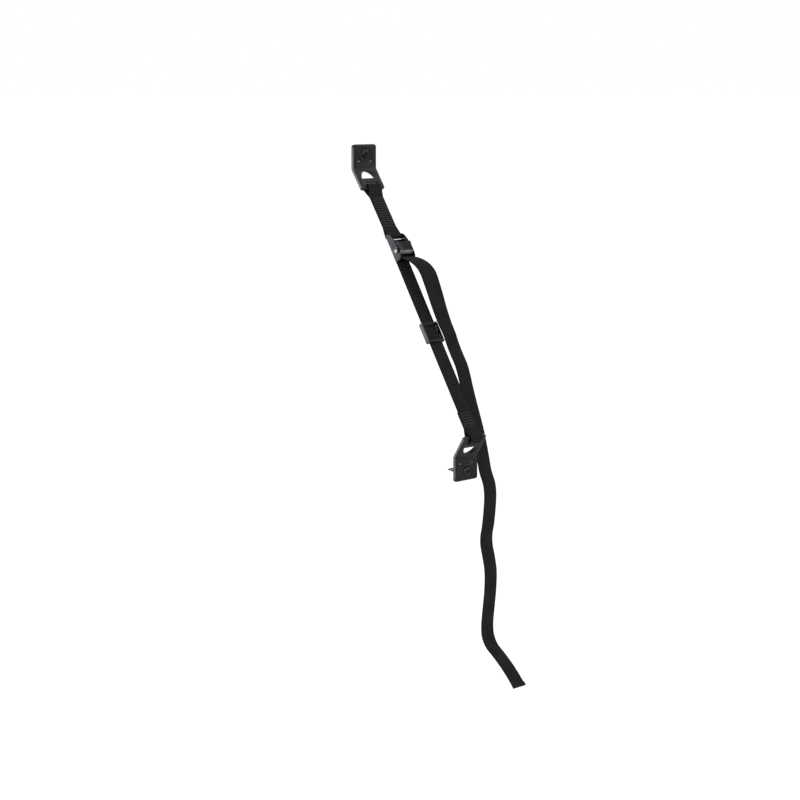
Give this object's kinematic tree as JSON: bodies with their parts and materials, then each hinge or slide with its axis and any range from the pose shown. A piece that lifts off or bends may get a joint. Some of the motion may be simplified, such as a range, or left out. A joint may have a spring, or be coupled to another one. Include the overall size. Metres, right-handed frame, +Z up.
{
  "type": "furniture anti tip strap",
  "caption": "Anti tip strap: cranked steel wall and furniture brackets joined by taut webbing with a cam buckle, a ladder slide and a hanging free tail.",
  "frame": {"origin": "on the back of the upper bracket, midway between its two small holes", "axes": "+X across the brackets, -Y straight out from the faces they are screwed to, +Z up"},
  "size_m": [0.071, 0.2323, 0.6684],
  "materials": {
    "black_coat": "satin black powder coat",
    "black_steel": "black plated steel, half gloss",
    "buckle_steel": "black coated pressed steel, half gloss",
    "spring_steel": "bare spring wire",
    "black_web": "ribbed woven webbing",
    "black_plastic": "moulded black plastic, satin"
  },
  "bodies": {
    "strap": {"upper_bracket": "black_coat", "upper_screw": "black_steel", "lower_bracket": "black_coat", "lower_screw": "black_steel", "anchor_strap": "black_web", "buckle_frame": "buckle_steel", "cam_pin": "black_steel", "cam_spring": "spring_steel", "main_strap": "black_web", "tail_strap": "black_web"},
    "lever": {"cam_lever": "buckle_steel"},
    "slide": {"web_slide": "black_plastic"}
  },
  "joints": [
    {"name": "lever_press", "type": "hinge", "parent": "strap", "child": "lever", "pos_m": [0, -0.06527, -0.10905], "axis": [-1, 0, 0], "range_deg": [0, 22], "stiffness_Nm_per_rad": 0.05, "springref_deg": -20.05},
    {"name": "web_slide_travel", "type": "slide", "parent": "strap", "child": "slide", "axis": [0, -0.4681, -0.8837], "range_m": [-0.08, 0.075]}
  ]
}
